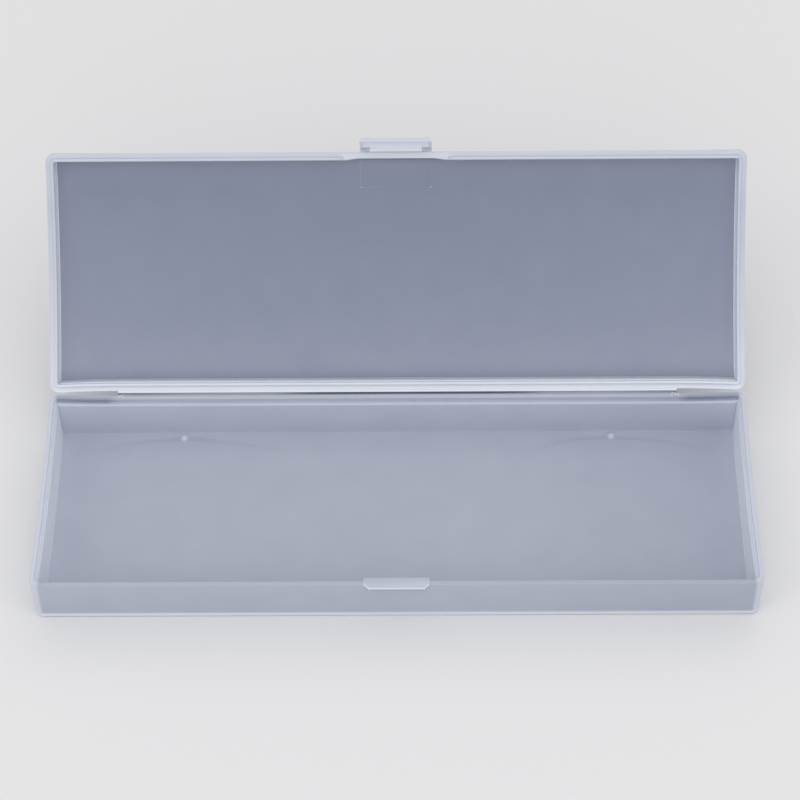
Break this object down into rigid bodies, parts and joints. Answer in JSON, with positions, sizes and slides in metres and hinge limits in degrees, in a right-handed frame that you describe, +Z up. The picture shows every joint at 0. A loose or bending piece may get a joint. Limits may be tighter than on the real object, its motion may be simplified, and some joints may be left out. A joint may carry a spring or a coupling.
{
  "type": "plastic pencil box",
  "caption": "Slim frosted plastic pencil box: a shallow open tray, a lid on a living hinge along its back and a snap clasp in front.",
  "frame": {"origin": "centre of the tray's flat underside", "axes": "+X along the box's length, +Y from its front (clasp side) to its back (hinge side), +Z up"},
  "size_m": [0.1998, 0.122, 0.0717],
  "materials": {
    "frosted_polypropylene": "matte"
  },
  "bodies": {
    "tray_body": {"tray_shell": "frosted_polypropylene", "catch_lip": "frosted_polypropylene", "tray_hinge_leaf": "frosted_polypropylene", "hinge_web": "frosted_polypropylene", "floor_nibs": "frosted_polypropylene"},
    "lid_body": {"lid_shell": "frosted_polypropylene", "lid_locating_lip": "frosted_polypropylene", "lid_hinge_leaf": "frosted_polypropylene", "lid_panel_nibs": "frosted_polypropylene", "latch_web": "frosted_polypropylene"},
    "latch_body": {"latch_shelf": "frosted_polypropylene", "latch_tab": "frosted_polypropylene", "latch_hook": "frosted_polypropylene", "latch_cheeks": "frosted_polypropylene"}
  },
  "joints": [
    {"name": "lid_hinge", "type": "hinge", "parent": "tray_body", "child": "lid_body", "pos_m": [0, 0.03468, 0.01465], "axis": [1, 0, 0], "range_deg": [-47.3, 132.7], "deforming": ["hinge_web"]},
    {"name": "latch_flex", "type": "hinge", "parent": "lid_body", "child": "latch_body", "pos_m": [0, 0.08358, 0.06373], "axis": [-1, 0, 0], "range_deg": [0, 12], "stiffness_Nm_per_rad": 0.05, "deforming": ["latch_web"]}
  ]
}
